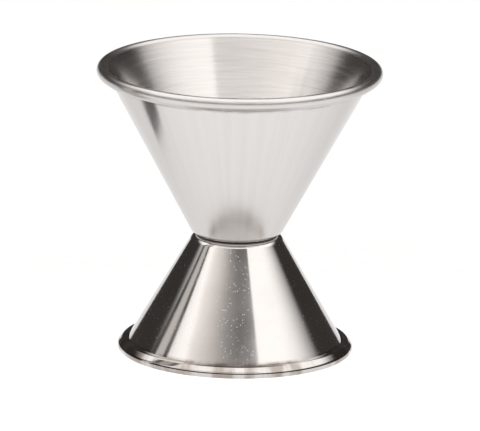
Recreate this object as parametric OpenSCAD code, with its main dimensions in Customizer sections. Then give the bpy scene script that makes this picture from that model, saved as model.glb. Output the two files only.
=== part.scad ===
// Double bar jigger: two conical measuring cups of sheet steel, spot welded base to base.
// The axis of both cups is Z. The small cup points down and its rolled rim rests on Z = 0.
// Each cup is one sheet of even thickness, and its rim is that sheet rolled outwards into a hollow bead.
// The bead is pressed: its sheet runs on flat from the roll, then folds into a ledge that runs in to the wall.

/* [Overall] */
// Height from the resting face of the lower rim to the top face of the upper rim
height = 68.9; // [60:0.1:76]
// Height of the waist, where the two flat bases meet
waist_z = 28.3; // [25:0.1:32]
// Radius of both bases, to the sharp corner before it is rounded
waist_r = 10.3; // [8:0.1:12]
// Outer radius of the rounded corner between base and wall
corner_r = 2.2; // [0.9:0.1:2.5]
// Thickness of the sheet
sheet = 0.7; // [0.5:0.05:0.8]

/* [Upper cup] */
// Outer radius of the upper rim
upper_rim_r = 33.7; // [30:0.1:37]
// Outer radius of the roll at the rim
upper_roll_r = 1.35; // [1.1:0.05:1.6]
// Angles between upright and the bead's flat face, and between upright and its ledge
upper_face_tilt = 55; // [40:1:60]
upper_ledge_tilt = 72; // [65:1:85]

/* [Lower cup] */
// Outer radius of the lower rim
lower_rim_r = 27.8; // [25:0.1:31]
// Outer radius of the roll at the rim
lower_roll_r = 1.1; // [1.05:0.05:1.6]
// Angles between upright and the bead's flat face, and between upright and its ledge
lower_face_tilt = 44; // [40:1:60]
lower_ledge_tilt = 85; // [65:1:85]

/* [Rims] */
// Length of a bead's flat face, up to its fold
face_length = 1.3; // [1:0.1:1.5]
// How far a roll stands proud of the flat sheet on both sides of it
roll_proud = 0.05; // [0.04:0.01:0.08]
// Width of the slit between the sheet's rolled-in edge and the wall
curl_gap = 0.2; // [0.1:0.05:0.3]
// Depth of the narrow flat on each bead, where the jigger stands
land_depth = 0.05; // [0.03:0.01:0.08]

/* [Spot welds] */
// Number of welds
weld_count = 4; // [3:1:6]
// Radius of the circle that the welds lie on
weld_circle_r = 5; // [4:0.1:5.5]
// Radius of one weld nugget
nugget_r = 1.4; // [1:0.1:1.6]
// Radius of the dimple that the electrode leaves in each cup's floor
dimple_r = 1.9; // [1.7:0.1:2.2]
// Depth of that dimple
dimple_depth = 0.1; // [0.05:0.01:0.12]

/* [Hidden] */
$fn = 180;
upper_depth = height - waist_z;
lower_depth = waist_z;
// A nugget reaches halfway through each of the two sheets
nugget_half_h = sheet / 2;

// Everything from here to cup() is in a cup's own frame: its base on Z = 0 and its mouth upwards.
// A section is drawn with the radius along X and the height along Y.

// Centre of the roll at a rim
function roll_centre(rim_r, roll_r, depth) = [rim_r - roll_r, depth - roll_r + land_depth];

// How far the inner face of the flat sheet beside a roll passes from the roll's centre
function roll_offset(roll_r) = roll_r - roll_proud - sheet;

// Half-angle of the cone whose outer face starts at the base's corner and passes p at a distance of offset
function half_angle(p, offset) =
    atan((p[0] - waist_r) / p[1]) - asin(offset / norm([p[0] - waist_r, p[1]]));

// Directions along a wall of half-angle a and square to it, out of the cup
function up_wall(a) = [sin(a), cos(a)];
function out_of_wall(a) = [cos(a), -sin(a)];

// Directions square to a bead's face or ledge, out of the bead, and along it, towards the wall
function out_of_bead(tilt) = [cos(tilt), -sin(tilt)];
function to_wall(tilt) = [-sin(tilt), -cos(tilt)];

// Corner between the floor and the inner face of the wall
function inner_corner(a) = [waist_r + sheet * (tan(a) - 1 / cos(a)), sheet];

// What a round corner of radius r takes off a sharp outer corner p, or adds to a sharp inner one
module corner_sliver(p, a, r) {
    reach = r / tan((90 + a) / 2);
    centre = p + [-reach, r];
    difference() {
        polygon([p, p + reach * up_wall(a), centre, p - [reach, 0]]);
        translate(centre) circle(r);
    }
}

// The flat base and the straight wall, up to where the wall rolls over
module base_and_wall(a, centre, roll_r) {
    outer_top = centre - roll_offset(roll_r) * out_of_wall(a);
    inner_top = outer_top - sheet * out_of_wall(a);
    difference() {
        polygon([[0, 0], [waist_r, 0], outer_top, inner_top, inner_corner(a), [0, sheet]]);
        corner_sliver([waist_r, 0], a, corner_r);
    }
    corner_sliver(inner_corner(a), a, corner_r - sheet);
}

// The roll, still filled, round its own centre. It ends inside the flat sheet on both sides of it.
module roll(a, roll_r, face_tilt) {
    // Halfway between the angles at which the roll's two circles leave the sheet's faces
    inside_sheet = (acos((roll_r - roll_proud) / roll_r) + acos(roll_offset(roll_r) / (roll_r - sheet))) / 2;
    start = 180 - a + inside_sheet;
    end = 360 - face_tilt - inside_sheet;
    difference() {
        circle(roll_r);
        polygon([[0, 0], for (t = [start, (start + end) / 2, end]) 2 * roll_r * [cos(t), sin(t)]]);
    }
}

// The flat face and the ledge, round the roll's centre. The ledge's edge stops the slit's width short of the wall.
module face_and_ledge(a, roll_r, face_tilt, ledge_tilt) {
    face_out = out_of_bead(face_tilt);
    ledge_out = out_of_bead(ledge_tilt);
    ledge_in = to_wall(ledge_tilt);
    face_start = roll_offset(roll_r) * face_out;
    outer_fold = face_start + sheet * face_out + face_length * to_wall(face_tilt);
    inner_fold = outer_fold - sheet * (face_out + ledge_out) / (1 + face_out * ledge_out);
    ledge_ends = [for (p = [inner_fold, outer_fold])
        p + (curl_gap - roll_offset(roll_r) - p * out_of_wall(a)) / (ledge_in * out_of_wall(a)) * ledge_in];
    polygon(concat([face_start, inner_fold], ledge_ends, [outer_fold, face_start + sheet * face_out]));
}

// A cup's section
module section(depth, rim_r, roll_r, face_tilt, ledge_tilt) {
    centre = roll_centre(rim_r, roll_r, depth);
    a = half_angle(centre, roll_offset(roll_r));
    difference() {
        union() {
            base_and_wall(a, centre, roll_r);
            translate(centre) roll(a, roll_r, face_tilt);
            translate(centre) face_and_ledge(a, roll_r, face_tilt, ledge_tilt);
        }
        translate(centre) circle(roll_r - sheet);
        // The narrow flat where the jigger stands
        translate([0, depth]) square([2 * centre[0], roll_r]);
    }
}

// One copy of its child at each weld
module at_each_weld() {
    for (i = [0 : weld_count - 1]) rotate(i * 360 / weld_count) translate([weld_circle_r, 0]) children();
}

// What the welds take out of a cup: the nuggets' pockets under its base and the dimples in its floor
module weld_marks() {
    at_each_weld() {
        translate([0, 0, -sheet]) cylinder(r = nugget_r, h = sheet + nugget_half_h);
        translate([0, 0, sheet - dimple_depth]) cylinder(r = dimple_r, h = sheet);
    }
}

// One cup, from its section
module cup() {
    difference() {
        rotate_extrude() children();
        weld_marks();
    }
}

module upper_cup() {
    color("gainsboro") translate([0, 0, waist_z])
        cup() section(upper_depth, upper_rim_r, upper_roll_r, upper_face_tilt, upper_ledge_tilt);
}

module lower_cup() {
    color("silver") translate([0, 0, waist_z]) mirror([0, 0, 1])
        cup() section(lower_depth, lower_rim_r, lower_roll_r, lower_face_tilt, lower_ledge_tilt);
}

module spot_welds() {
    color("dimgray") translate([0, 0, waist_z - nugget_half_h])
        at_each_weld() cylinder(r = nugget_r, h = 2 * nugget_half_h);
}

upper_cup();
lower_cup();
spot_welds();
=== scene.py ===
"""Looks of a double bar jigger: two conical cups of sheet steel, spot welded base to base.

Each cup is built again as one finely turned sheet, from its CAD node's box and the part's own dimensions.
The lengths in the constants are in millimetres unless they say metres, and MM turns them into metres.
"""

import math
from dataclasses import dataclass

import bmesh
import bpy
from mathutils import Matrix, Vector, noise


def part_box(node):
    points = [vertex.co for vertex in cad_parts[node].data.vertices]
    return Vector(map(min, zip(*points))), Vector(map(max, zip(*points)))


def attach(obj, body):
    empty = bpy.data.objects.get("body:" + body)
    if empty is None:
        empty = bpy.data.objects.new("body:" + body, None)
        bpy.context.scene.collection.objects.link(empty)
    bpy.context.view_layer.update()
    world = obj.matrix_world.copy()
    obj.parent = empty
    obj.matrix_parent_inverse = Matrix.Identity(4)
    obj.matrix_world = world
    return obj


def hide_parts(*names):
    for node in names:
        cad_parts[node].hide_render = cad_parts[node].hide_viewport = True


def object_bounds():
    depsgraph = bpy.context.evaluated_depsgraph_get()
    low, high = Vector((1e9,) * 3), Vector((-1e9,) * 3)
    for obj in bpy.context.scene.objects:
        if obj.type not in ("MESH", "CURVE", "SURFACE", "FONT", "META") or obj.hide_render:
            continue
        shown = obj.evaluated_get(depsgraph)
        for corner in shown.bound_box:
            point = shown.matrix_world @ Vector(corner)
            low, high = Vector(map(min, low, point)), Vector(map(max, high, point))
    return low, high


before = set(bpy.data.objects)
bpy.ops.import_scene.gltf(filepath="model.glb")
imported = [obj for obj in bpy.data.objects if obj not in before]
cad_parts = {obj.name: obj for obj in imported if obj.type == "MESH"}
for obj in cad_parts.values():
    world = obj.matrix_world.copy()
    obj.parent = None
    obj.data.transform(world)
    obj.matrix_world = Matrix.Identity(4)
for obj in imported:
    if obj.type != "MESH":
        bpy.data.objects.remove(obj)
cad_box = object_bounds()

MM = 0.001
ORIGIN = Vector((0, 0))
# The parts of a vector, by number
X, Y, Z = 0, 1, 2

# Both cups, as in the CAD part: the sheet, the base and its rounded corner
SHEET = 0.7
WAIST_R = 10.3
CORNER_R = 2.2
# The beads, as in the CAD part: the flat where the jigger stands, the flat face, and the slit at the wall
LAND_DEPTH = 0.05
FACE_LENGTH = 1.3
CURL_GAP = 0.2
# Each bead's roll, and how far its flat face and its ledge tilt from upright
UPPER_BEAD = {"roll_r": 1.35, "face_tilt": math.radians(55), "ledge_tilt": math.radians(72)}
LOWER_BEAD = {"roll_r": 1.1, "face_tilt": math.radians(44), "ledge_tilt": math.radians(85)}

# The dimples that the spot welding leaves in the floors, as in the CAD part
WELD_COUNT = 4
WELD_CIRCLE_R = 5.0
DIMPLE_R = 1.9
DIMPLE_DEPTH = 0.1

# Outer radius of the fold between a bead's flat face and its ledge
FOLD_R = 0.9
# Width of a dimple's sloping edge
DIMPLE_EDGE = 0.6
# How far the walls stray from true cones, and over what length
WAVER = 0.012
WAVER_LENGTH = 14.0
# The shares of the slit that stay open on average and by which its ragged edge strays, and how finely
SLIT_SHARE = 0.4
RAGGED_SHARE = 0.5
RAGGED_SCALE = 22.0

# Fineness of the meshes: steps round the axis, and points on each stretch of the section
STEPS_AROUND = 288
WALL_POINTS = 32
FLOOR_POINTS = 56
BASE_POINTS = 8
CORNER_POINTS = 9
HOLLOW_POINTS = 20
ROLL_POINTS = 48
FOLD_POINTS = 8
LEDGE_POINTS = 10
# Edges sharper than this are shaded as edges
SHARP_ANGLE = math.radians(40)

# The camera: a long lens, from above the rim, a little rolled and aimed beside the jigger's middle
CAMERA_ELEVATION = math.radians(14.42)
CAMERA_ROLL = math.radians(1.053)
CAMERA_DISTANCE = 2.696
CAMERA_AIM = (0.62, -1.80)
LENS, SENSOR_WIDTH = 857.0, 36

# Colour of the steel, as a share of the light that it reflects
STEEL_TINT = (1.0, 0.957, 0.93)
# Lines brushed round the axis spread a reflection across them, a quarter turn from the tangent
ACROSS_THE_LINES = 0.25

# How far the satin's grain moves its colour and its roughness either way
FLECK = 0.01
# The share of the brush lines that is fine; the rest is broad
FINE_SHARE = 0.6
# Cells a metre in the polish, which of their random values have a pit, its edge in a cell, and its roughness
CELLS = 2300.0
PITTED = (0.82, 0.88)
PIT_EDGE = (0.12, 0.35)
PIT_ROUGHNESS = 0.22
# How deep the brush lines, the pits in the polish and the nuggets' grain are
BRUSH_DEPTH, PIT_DEPTH, NUGGET_GRAIN_DEPTH = 0.001, 0.0022, 0.04
NUGGET_BROWN, NUGGET_GREY = (0.20, 0.17, 0.14, 1), (0.30, 0.30, 0.32, 1)
# Smooth noise keeps mostly to these values, and hardly ever leaves the wider ones
NOISE_RANGE, WIDE_NOISE_RANGE = (0.3, 0.7), (0.2, 0.8)

# Painted shade and grime in the creases beside the beads: its colour, and its least and greatest share
CREASE_SHADE_AND_GRIME = (0.22, 0.18, 0.15, 1)
SHADE_AND_GRIME_SHARE = (0.1, 0.75)
# The noise between which it is thinnest and thickest, and the heights between which it sets in on each cup
SHADE_AND_GRIME_NOISE = (0.38, 0.62)
UPPER_SHADE_AND_GRIME, LOWER_SHADE_AND_GRIME = (64.5, 65.4), (3.5, 2.9)

# The light: the tent's brightness below and above the elevations between which it rises
TENT_DARK = (0.055, 0.050, 0.047, 1)
TENT_BRIGHT = (1.84, 1.82, 1.80, 1)
TENT_EDGE = (19, 38)
# How far behind the jigger that begins to rise, as a share of the distance, and by how much
TENT_BACK_START, TENT_BACK_LIFT = 0.2, 0.33
CARD_TINT = (1.0, 0.96, 0.93, 1)
# The front screen: an azimuth, how bright it is there, and the elevation of its lower edge
SCREEN_STOPS = (
    (-68, 1.75, 38),
    (-56, 1.4, 38),
    (-38, 1.03, 40.5),
    (-12, 0.42, 43),
    (4, 0.24, 43.3),
    (30.5, 0.24, 43.3),
)
# The elevation of its upper edge, its distance in metres, and its mesh's steps in azimuth and rows
SCREEN_HIGH = 53
SCREEN_DISTANCE = 3.0
SCREEN_STEP, SCREEN_ROWS = 2, 6
# The side card: its place and height, how bright its face and its edges are, and where in Y that changes
SIDE_CARD_X, SIDE_CARD_HEIGHT = -75, 120
CARD_PALE, CARD_DARK = 0.87, 0.1
SIDE_CARD_STOPS = (
    (-24, CARD_DARK),
    (-18, CARD_DARK),
    (-17.5, CARD_PALE),
    (-6, CARD_PALE),
    (-5.5, CARD_DARK),
    (1, CARD_DARK),
)
# Its dark foot, which lies flat just over the table: from left to right, from front to back, and its height
FOOT_X, FOOT_Y, FOOT_Z = (-84, -68), (0, 26), 1
# The table: its width in metres, its greyness, and its own light in front and behind
FLOOR_SIZE = 8.0
FLOOR_GREY = (0.19, 0.21)
FLOOR_GLOW = (1.15, 0.75)
# Where in Y, in metres, the one light fades to the other
FLOOR_FADE = (-0.05, 0.08)


@dataclass
class Cup:
    """One cup's own dimensions. Its section is drawn with the base at height 0 and the mouth upwards."""

    rim_r: float
    depth: float
    roll_r: float
    face_tilt: float
    ledge_tilt: float


def box_size(node):
    """Outer radius and height of a turned CAD node, in millimetres."""
    low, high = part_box(node)
    return high.x / MM, (high.z - low.z) / MM


# ---- The turned sheets ----


def polar(centre, radius, angle):
    """The point at this distance and angle from a centre."""
    return centre + radius * Vector((math.cos(angle), math.sin(angle)))


def arc(centre, radius, start, end, count):
    """Points on a circle, from one angle to another."""
    return [polar(centre, radius, start + (end - start) * i / (count - 1)) for i in range(count)]


def straight(start, end, count):
    """Points on a line, closer together at its ends, so that shading there doesn't spread along it."""
    shares = [(1 - math.cos(math.pi * i / (count - 1))) / 2 for i in range(count)]
    return [start.lerp(end, share) for share in shares]


def section(cup, gap):
    """The line round a cup's sheet, from axis to axis: base, wall, bead, inner face and floor.

    gap is the slit between the rolled-in edge and the wall. Returns pairs of a finish and a stretch's points.
    """
    hollow_r = cup.roll_r - SHEET
    roll = Vector((cup.rim_r - cup.roll_r, cup.depth - cup.roll_r + LAND_DEPTH))
    from_base = roll - Vector((WAIST_R, 0))
    lean = math.atan2(from_base.x, from_base.y) - math.asin(hollow_r / from_base.length)

    reach = CORNER_R / math.tan((math.pi / 2 + lean) / 2)
    corner = Vector((WAIST_R - reach, CORNER_R))
    outside = arc(corner, CORNER_R, -math.pi / 2, -lean, CORNER_POINTS)
    inside = arc(corner, CORNER_R - SHEET, -lean, -math.pi / 2, CORNER_POINTS)

    # The sheet rolls over from the wall, runs on flat, and folds into a ledge that runs back to the wall
    roll_start, roll_end, ledge = math.pi - lean, -cup.face_tilt, -cup.ledge_tilt
    hollow = arc(roll, hollow_r, roll_start, roll_end, HOLLOW_POINTS)
    rolled = arc(roll, cup.roll_r, roll_end, roll_start, ROLL_POINTS)
    for point in rolled:
        point.y = min(point.y, cup.depth)
    straight_face = FACE_LENGTH - FOLD_R * math.tan((roll_end - ledge) / 2)
    fold = polar(polar(roll, cup.roll_r - FOLD_R, roll_end), straight_face, roll_end - math.pi / 2)
    inner_fold = arc(fold, FOLD_R - SHEET, roll_end, ledge, FOLD_POINTS)
    outer_fold = arc(fold, FOLD_R, ledge, roll_end, FOLD_POINTS)
    along_ledge, square_to_wall = polar(ORIGIN, 1, ledge - math.pi / 2), polar(ORIGIN, 1, -lean)

    def ledge_edge(start):
        """Where the line from this point along the ledge comes to the slit."""
        to_slit = gap - hollow_r - (start - roll).dot(square_to_wall)
        return start + to_slit / along_ledge.dot(square_to_wall) * along_ledge

    skirt_inside = inner_fold + straight(inner_fold[-1], ledge_edge(inner_fold[-1]), LEDGE_POINTS)[1:]
    skirt_outside = straight(ledge_edge(outer_fold[0]), outer_fold[0], LEDGE_POINTS)[:-1] + outer_fold
    outer_wall = straight(outside[-1], hollow[0], WALL_POINTS)[1:-1]
    inner_wall = straight(rolled[-1], inside[0], WALL_POINTS)[1:-1]

    return [
        ("base", straight(ORIGIN, outside[0], BASE_POINTS)[:-1]),
        ("outside", outside + outer_wall),
        ("bead", hollow + skirt_inside + skirt_outside + rolled),
        ("inside", inner_wall + inside),
        ("floor", straight(inside[-1], Vector((0, SHEET)), FLOOR_POINTS)[1:]),
    ]


def wavered(cup, point, angle):
    """A point moved by the wall's slight unevenness, which fades out at the base and at the rim."""
    share = min(max(point.y / cup.depth, 0), 1)
    place = Vector((point.x * math.cos(angle), point.x * math.sin(angle), point.y)) / WAVER_LENGTH
    return point + Vector((WAVER * noise.noise(place) * math.sin(math.pi * share) ** 2, 0))


def dimple(point, angle):
    """How deep the welding electrodes' dimples, with their smooth edges, are at a point of a floor."""
    turn = math.tau / WELD_COUNT
    from_weld = angle - turn * round(angle / turn)
    distance = (polar(ORIGIN, point.x, from_weld) - Vector((WELD_CIRCLE_R, 0))).length
    share = min(max((DIMPLE_R - distance) / DIMPLE_EDGE, 0), 1)
    return DIMPLE_DEPTH * share * share * (3 - 2 * share)


def shaped_section(cup, angle):
    """The cup's uneven section at one angle round its axis, as pairs of a finish and a point."""
    place = Vector((math.cos(angle), math.sin(angle), cup.depth)) * RAGGED_SCALE
    gap = CURL_GAP * (SLIT_SHARE + RAGGED_SHARE * noise.noise(place))
    shaped = []
    for finish, points in section(cup, gap):
        for point in points:
            if finish == "floor":
                point = point - Vector((0, dimple(point, angle)))
            elif finish != "base":
                point = wavered(cup, point, angle)
            shaped.append((finish, point))
    return shaped


def turned_sheet(name, cup, base_z, up, materials):
    """A cup as one closed mesh. up is 1 where its mouth is upwards and -1 where it is downwards.

    materials gives each finish its material. Both ends of the section are on the axis, alike at every angle.
    """
    finishes = list(materials)
    shape = bmesh.new()
    rings = []
    for step in range(STEPS_AROUND):
        angle = math.tau * step / STEPS_AROUND
        outline = shaped_section(cup, angle)
        ring = []
        for finish, point in outline[1:-1]:
            place = Vector((point.x * math.cos(angle), point.x * math.sin(angle), base_z + up * point.y))
            ring.append(shape.verts.new(place * MM))
        rings.append(ring)
    first, last = (
        shape.verts.new(Vector((0, 0, base_z + up * point.y)) * MM) for _, point in (outline[0], outline[-1])
    )
    indices = [finishes.index(finish) for finish, _ in outline]

    for ring, following in zip(rings, rings[1:] + rings[:1]):
        face = shape.faces.new((first, ring[0], following[0]))
        face.material_index = indices[0]
        for i in range(len(ring) - 1):
            face = shape.faces.new((ring[i], ring[i + 1], following[i + 1], following[i]))
            face.material_index = indices[i + 1]
        face = shape.faces.new((ring[-1], last, following[-1]))
        face.material_index = indices[-1]
    bmesh.ops.recalc_face_normals(shape, faces=shape.faces)

    mesh = bpy.data.meshes.new(name)
    shape.to_mesh(mesh)
    shape.free()
    for finish in finishes:
        mesh.materials.append(materials[finish])
    mesh.shade_smooth()
    mesh.set_sharp_from_angle(angle=SHARP_ANGLE)
    piece = bpy.data.objects.new(name, mesh)
    bpy.context.scene.collection.objects.link(piece)
    return piece


# ---- Materials ----


class Nodes:
    """A material or light's node tree, with short ways to add to it."""

    def __init__(self, tree):
        self.tree = tree
        tree.nodes.clear()

    def add(self, kind, inputs=(), **settings):
        """A node of one kind. inputs pairs each socket's name or number with a value or a socket to link."""
        made = self.tree.nodes.new(kind)
        for key, value in settings.items():
            setattr(made, key, value)
        for key, value in dict(inputs).items():
            if isinstance(value, bpy.types.NodeSocket):
                self.tree.links.new(value, made.inputs[key])
            else:
                made.inputs[key].default_value = value
        return made

    def maths(self, operation, *values):
        """One sum on numbers."""
        return self.add("ShaderNodeMath", enumerate(values), operation=operation).outputs[0]

    def vector(self, operation, *values):
        """One sum on vectors."""
        return self.add("ShaderNodeVectorMath", enumerate(values), operation=operation).outputs[0]

    def place(self):
        """Where a point is, in metres."""
        return self.add("ShaderNodeTexCoord").outputs["Object"]

    def part(self, vector, axis):
        """One of a vector's three parts, by its number."""
        return self.add("ShaderNodeSeparateXYZ", {0: vector}).outputs[axis]

    def turned(self, around, along):
        """Coordinates for a pattern on a turned surface, finer round the axis or along it."""
        place = self.place()
        outwards = self.vector("NORMALIZE", self.vector("MULTIPLY", place, (1, 1, 0)))
        around_axis = self.vector("MULTIPLY", outwards, (around, around, 0))
        return self.vector("ADD", around_axis, self.vector("MULTIPLY", place, (0, 0, along)))

    def noise(self, coordinates, scale=1.0, detail=2.0):
        """Smooth noise, mostly within NOISE_RANGE."""
        inputs = {"Vector": coordinates, "Scale": scale, "Detail": detail}
        return self.add("ShaderNodeTexNoise", inputs).outputs["Fac"]

    def spread(self, value, low, high, low_value=0.0, high_value=1.0):
        """value, taken from the range low to high to the range low_value to high_value."""
        before = {"From Min": low, "From Max": high}
        after = {"To Min": low_value, "To Max": high_value}
        inputs = {"Value": value, **before, **after}
        return self.add("ShaderNodeMapRange", inputs, interpolation_type="SMOOTHSTEP").outputs[0]

    def varied(self, noise, low_value, high_value):
        """Smooth noise, taken from NOISE_RANGE to the range low_value to high_value."""
        return self.spread(noise, *NOISE_RANGE, low_value, high_value)

    def flecked(self, value, noise, most):
        """value, give or take most as the noise goes."""
        return self.maths("ADD", value, self.spread(noise, *WIDE_NOISE_RANGE, -most, most))

    def scaled(self, tint, level):
        """A colour: tint times level."""
        return self.add("ShaderNodeVectorMath", {0: tint, "Scale": level}, operation="SCALE").outputs[0]

    def mixed(self, share, first, second):
        """A colour from first to second, as share goes from 0 to 1. The node's colour sockets are 6 and 7."""
        return self.add("ShaderNodeMix", {0: share, 6: first, 7: second}, data_type="RGBA").outputs[2]

    def bump(self, height, depth):
        """A normal from a height from 0 to 1, which stands for a depth in millimetres."""
        return self.add("ShaderNodeBump", {"Height": height, "Distance": depth * MM}).outputs[0]

    def metal(self, colour, roughness, normal, anisotropy=0.0):
        """The metal's shader and the tree's output."""
        inputs = {
            "Base Color": colour,
            "Metallic": 1.0,
            "Roughness": roughness,
            "Normal": normal,
            "Anisotropic": anisotropy,
            "Anisotropic Rotation": ACROSS_THE_LINES,
        }
        shader = self.add("ShaderNodeBsdfPrincipled", inputs)
        if anisotropy:
            tangent = self.add("ShaderNodeTangent", direction_type="RADIAL", axis="Z")
            self.tree.links.new(tangent.outputs[0], shader.inputs["Tangent"])
        self.add("ShaderNodeOutputMaterial", {"Surface": shader.outputs[0]})


def material(name):
    """A new material and its nodes."""
    made = bpy.data.materials.new(name)
    made.use_nodes = True
    return made, Nodes(made.node_tree)


def shaded_and_grimed(n, colour, heights):
    """colour with ragged painted shade and grime, which thickens from the first of two heights to the second,
    by a crease.
    """
    patches = n.noise(n.turned(around=6, along=90), detail=4)
    edge = n.spread(n.part(n.place(), Z), *(z * MM for z in heights))
    share = n.maths("MULTIPLY", edge, n.spread(patches, *SHADE_AND_GRIME_NOISE, *SHADE_AND_GRIME_SHARE))
    return n.mixed(share, colour, CREASE_SHADE_AND_GRIME)


def satin_steel():
    """The upper cup's outside: a fine, even satin with faint streaks down the wall."""
    made, n = material("satin_steel")
    streaks = n.noise(n.turned(around=14, along=18), detail=3)
    grain = n.noise(n.turned(around=60, along=5000), detail=2)
    clouds = n.noise(n.place(), scale=60, detail=2)
    level = n.flecked(n.varied(streaks, 0.548, 0.566), grain, FLECK)
    # Painted shade and grime darken the wall just under the bead
    colour = shaded_and_grimed(n, n.scaled(STEEL_TINT, level), UPPER_SHADE_AND_GRIME)
    roughness = n.flecked(n.varied(clouds, 0.15, 0.18), grain, FLECK)
    n.metal(colour, roughness, n.bump(grain, BRUSH_DEPTH), anisotropy=0.4)
    return made


def bead_steel():
    """The upper bead: a coarser satin, which blurs round the bead."""
    made, n = material("bead_steel")
    grain = n.noise(n.turned(around=8, along=2500), detail=2)
    level = n.varied(grain, 0.53, 0.57)
    roughness = n.varied(grain, 0.28, 0.34)
    n.metal(n.scaled(STEEL_TINT, level), roughness, n.bump(grain, BRUSH_DEPTH), anisotropy=0.7)
    return made


def brushed_steel():
    """Insides and floors: lines brushed round the axis."""
    made, n = material("brushed_steel")
    fine = n.noise(n.turned(around=3, along=4200), detail=3)
    broad = n.noise(n.turned(around=1.5, along=900), detail=2)
    lines = n.maths("ADD", n.maths("MULTIPLY", fine, FINE_SHARE), n.maths("MULTIPLY", broad, 1 - FINE_SHARE))
    level = n.varied(lines, 0.58, 0.68)
    roughness = n.varied(lines, 0.20, 0.25)
    n.metal(n.scaled(STEEL_TINT, level), roughness, n.bump(lines, BRUSH_DEPTH), anisotropy=0.9)
    return made


def polished_steel():
    """The lower cup's outside and its bead: bright, with a faint cloudiness and fine pits in some cells."""
    made, n = material("polished_steel")
    clouds = n.noise(n.place(), scale=90, detail=3)
    cells = n.add("ShaderNodeTexVoronoi", {"Vector": n.place(), "Scale": CELLS}).outputs
    pitted = n.spread(n.part(cells["Color"], X), *PITTED)
    pits = n.maths("MULTIPLY", pitted, n.spread(cells["Distance"], *PIT_EDGE, low_value=1.0, high_value=0.0))
    level = n.varied(clouds, 0.535, 0.565)
    # Painted shade and grime darken the wall at the bead's crease, and the bead below it
    colour = shaded_and_grimed(n, n.scaled(STEEL_TINT, level), LOWER_SHADE_AND_GRIME)
    roughness = n.maths("ADD", n.varied(clouds, 0.085, 0.115), n.maths("MULTIPLY", pits, PIT_ROUGHNESS))
    n.metal(colour, roughness, n.bump(pits, PIT_DEPTH))
    return made


def weld_steel():
    """The nuggets: darker fused metal with a coarse grain."""
    made, n = material("weld_steel")
    grain = n.noise(n.place(), scale=3000, detail=4)
    tint = n.noise(n.place(), scale=700, detail=2)
    colour = n.mixed(n.spread(tint, 0.35, 0.65), NUGGET_BROWN, NUGGET_GREY)
    roughness = n.varied(grain, 0.4, 0.65)
    n.metal(colour, roughness, n.bump(grain, NUGGET_GRAIN_DEPTH))
    return made


def pale_floor():
    """A pale table lit from below, more at the front than at the back."""
    made, n = material("pale_floor")
    grain = n.noise(n.place(), scale=400, detail=3)
    back = n.part(n.place(), Y)
    inputs = {
        "Base Color": n.scaled((1.0, 1.0, 1.0), n.varied(grain, *FLOOR_GREY)),
        "Roughness": 0.9,
        "Specular IOR Level": 0.0,
        "Emission Color": (1, 1, 1, 1),
        "Emission Strength": n.spread(back, *FLOOR_FADE, *FLOOR_GLOW),
    }
    shader = n.add("ShaderNodeBsdfPrincipled", inputs)
    n.add("ShaderNodeOutputMaterial", {"Surface": shader.outputs[0]})
    return made


# ---- The studio ----


def direction(azimuth, elevation):
    """The direction from the jigger. Azimuth 0 is in front, at the camera's side, and 90 is at its right."""
    a, e = math.radians(azimuth), math.radians(elevation)
    return Vector((math.sin(a) * math.cos(e), -math.cos(a) * math.cos(e), math.sin(e)))


def light_tent():
    """The world: a white tent whose wall brightens upwards, over a dim surround at the level of the table."""
    world = bpy.data.worlds.new("light_tent")
    bpy.context.scene.world = world
    world.use_nodes = True
    n = Nodes(world.node_tree)
    towards = n.add("ShaderNodeTexCoord").outputs["Generated"]
    behind = n.maths("MAXIMUM", n.maths("SUBTRACT", n.part(towards, Y), TENT_BACK_START), 0.0)
    up = n.maths("SUBTRACT", n.part(towards, Z), n.maths("MULTIPLY", behind, TENT_BACK_LIFT))
    share = n.spread(up, *(math.sin(math.radians(elevation)) for elevation in TENT_EDGE))
    sky = n.add("ShaderNodeBackground", {"Color": n.mixed(share, TENT_DARK, TENT_BRIGHT)})
    n.add("ShaderNodeOutputWorld", {"Surface": sky.outputs[0]})


def glowing(name):
    """A material that gives off the light that its mesh holds as an attribute."""
    made, n = material(name)
    level = n.add("ShaderNodeAttribute", attribute_name="radiance").outputs["Fac"]
    glow = n.add("ShaderNodeEmission", {"Color": CARD_TINT, "Strength": level})
    n.add("ShaderNodeOutputMaterial", {"Surface": glow.outputs[0]})
    return made


def reflector(name, columns, levels):
    """A card that shows only in reflections: columns of points, and how bright each column is."""
    rows = len(columns[0])
    mesh = bpy.data.meshes.new(name)
    faces = []
    for i in range(len(columns) - 1):
        for j in range(rows - 1):
            first = i * rows + j
            faces.append((first, first + 1, first + rows + 1, first + rows))
    mesh.from_pydata([point for column in columns for point in column], [], faces)
    brightness = mesh.attributes.new("radiance", "FLOAT", "POINT")
    brightness.data.foreach_set("value", [level for level in levels for _ in range(rows)])
    mesh.materials.append(glowing(name))
    card = bpy.data.objects.new(name, mesh)
    card.visible_camera = False
    card.visible_shadow = False
    bpy.context.scene.collection.objects.link(card)


def front_screen():
    """A grey curved screen in front, high over the camera, which darkens the middle of the lower cone."""
    columns, levels = [], []
    for (start, level, low), (end, next_level, next_low) in zip(SCREEN_STOPS, SCREEN_STOPS[1:]):
        steps = max(round((end - start) / SCREEN_STEP), 1)
        for i in range(steps + 1):
            share = i / steps
            foot = low + (next_low - low) * share
            azimuth = start + (end - start) * share
            elevations = [foot + (SCREEN_HIGH - foot) * j / SCREEN_ROWS for j in range(SCREEN_ROWS + 1)]
            columns.append([direction(azimuth, elevation) * SCREEN_DISTANCE for elevation in elevations])
            levels.append(level + (next_level - level) * share)
    reflector("front_screen", columns, levels)


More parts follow.
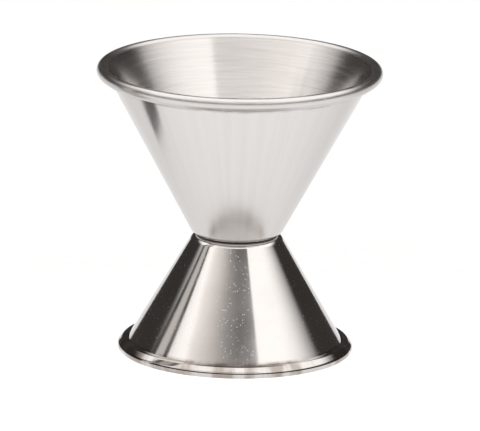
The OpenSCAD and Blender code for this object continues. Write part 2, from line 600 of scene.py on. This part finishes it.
def side_card():
    """A pale card with dark edges, which stands close on the left, and its dark foot."""
    columns, levels = [], []
    for y, level in SIDE_CARD_STOPS:
        columns.append([Vector((SIDE_CARD_X, y, z)) * MM for z in (0, SIDE_CARD_HEIGHT)])
        levels.append(level)
    reflector("side_card", columns, levels)
    foot = [[Vector((x, y, FOOT_Z)) * MM for y in FOOT_Y] for x in FOOT_X]
    reflector("side_card_foot", foot, [CARD_DARK, CARD_DARK])


def floor(size):
    """The square table top."""
    mesh = bpy.data.meshes.new("floor")
    half = size / 2
    corners = [(-half, -half, 0), (half, -half, 0), (half, half, 0), (-half, half, 0)]
    mesh.from_pydata(corners, [], [(0, 1, 2, 3)])
    mesh.materials.append(pale_floor())
    made = bpy.data.objects.new("floor", mesh)
    bpy.context.scene.collection.objects.link(made)
    return made


def camera(target):
    """A camera in front that looks down at the jigger."""
    data = bpy.data.cameras.new("camera")
    data.lens = LENS
    data.sensor_width = SENSOR_WIDTH
    back = direction(0, math.degrees(CAMERA_ELEVATION))
    made = bpy.data.objects.new("camera", data)
    made.rotation_mode = "QUATERNION"
    roll = Matrix.Rotation(CAMERA_ROLL, 3, "Z").to_quaternion()
    made.rotation_quaternion = back.to_track_quat("Z", "Y") @ roll
    aim = made.rotation_quaternion @ Vector((*CAMERA_AIM, 0)) * MM
    made.location = target + aim + back * CAMERA_DISTANCE
    bpy.context.scene.collection.objects.link(made)
    bpy.context.scene.camera = made


# ---- Putting it together ----

low, high = cad_box
camera((low + high) / 2)
light_tent()
front_screen()
side_card()
floor(FLOOR_SIZE)
bpy.context.scene.view_settings.view_transform = "Standard"

satin = satin_steel()
bead = bead_steel()
brushed = brushed_steel()
polished = polished_steel()
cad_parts["spot_welds"].material_slots[0].material = weld_steel()

upper = Cup(*box_size("upper_cup"), **UPPER_BEAD)
lower = Cup(*box_size("lower_cup"), **LOWER_BEAD)
waist_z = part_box("upper_cup")[0].z / MM

upper_finishes = {"base": satin, "outside": satin, "bead": bead, "inside": brushed, "floor": brushed}
lower_finishes = {"base": satin, "outside": polished, "bead": polished, "inside": brushed, "floor": brushed}
upper_piece = turned_sheet("upper_cup_turned", upper, waist_z, 1, upper_finishes)
lower_piece = turned_sheet("lower_cup_turned", lower, waist_z, -1, lower_finishes)
stands_for = ((upper_piece, "upper_cup", "satin_steel"), (lower_piece, "lower_cup", "polished_steel"))
for piece, node, slot in stands_for:
    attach(piece, "root")
    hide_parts(node)
